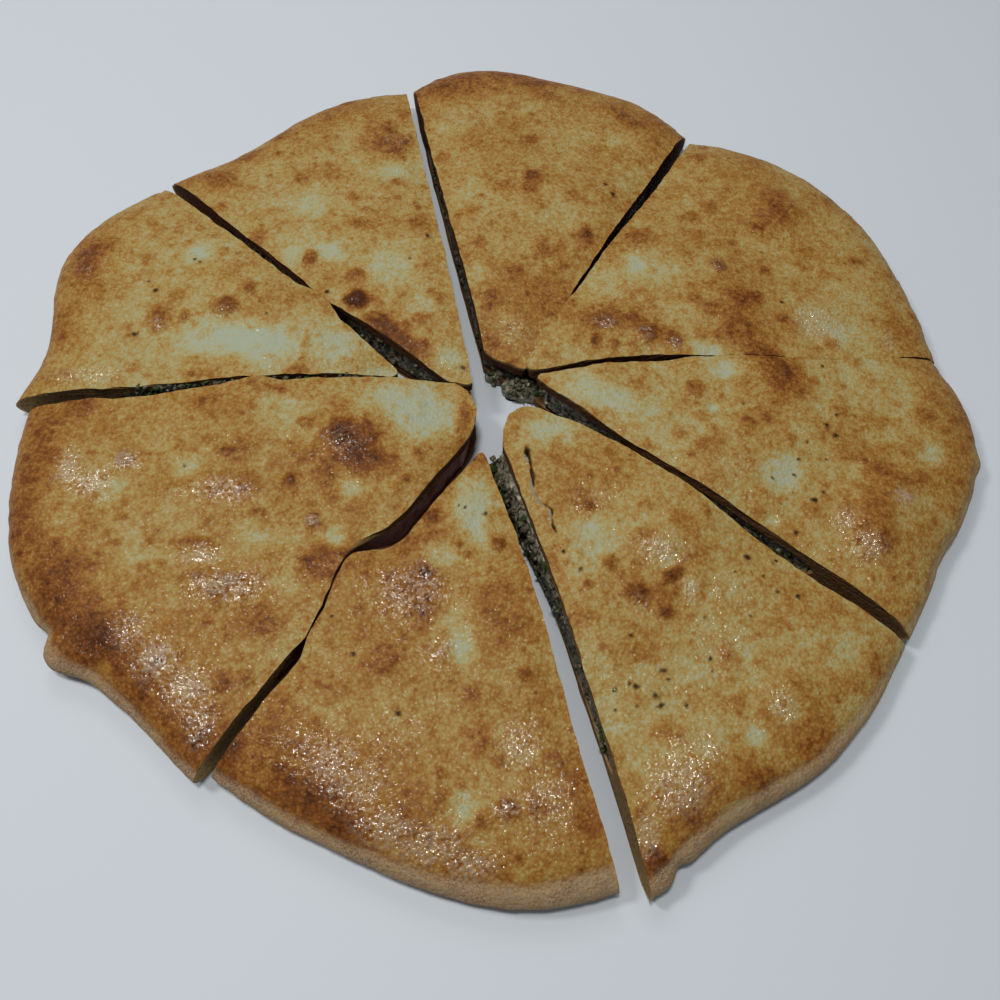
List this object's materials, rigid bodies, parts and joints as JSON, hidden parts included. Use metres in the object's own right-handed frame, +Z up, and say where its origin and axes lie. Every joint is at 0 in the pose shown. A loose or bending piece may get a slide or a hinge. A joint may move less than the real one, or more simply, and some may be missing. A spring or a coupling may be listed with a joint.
{
  "type": "kubdari",
  "caption": "Round flat bread with a golden, browned and blistered crust baked round a meat and herb filling, cut into wedge slices that lie together.",
  "frame": {"origin": "on the flat underside, at the middle of the bread's box", "axes": "+Z up out of the browned top, +Y towards the far side of the picture's view, +X to its right"},
  "size_m": [0.2852, 0.2888, 0.0181],
  "materials": {
    "crust": "baked wheat dough, golden with brown blisters and a thin butter gloss, floury towards the underside",
    "filling": "minced meat and onion with chopped herbs, grey-brown with green flecks, moist and craggy"
  },
  "bodies": {
    "root": {"slice_1_dough": "crust", "slice_1_filling": "filling", "slice_2_dough": "crust", "slice_2_filling": "filling", "slice_3_dough": "crust", "slice_3_filling": "filling", "slice_4_dough": "crust", "slice_4_filling": "filling", "slice_5_dough": "crust", "slice_5_filling": "filling", "slice_6_dough": "crust", "slice_6_filling": "filling", "slice_7_dough": "crust", "slice_7_filling": "filling", "slice_8_dough": "crust", "slice_8_filling": "filling"}
  },
  "joints": []
}
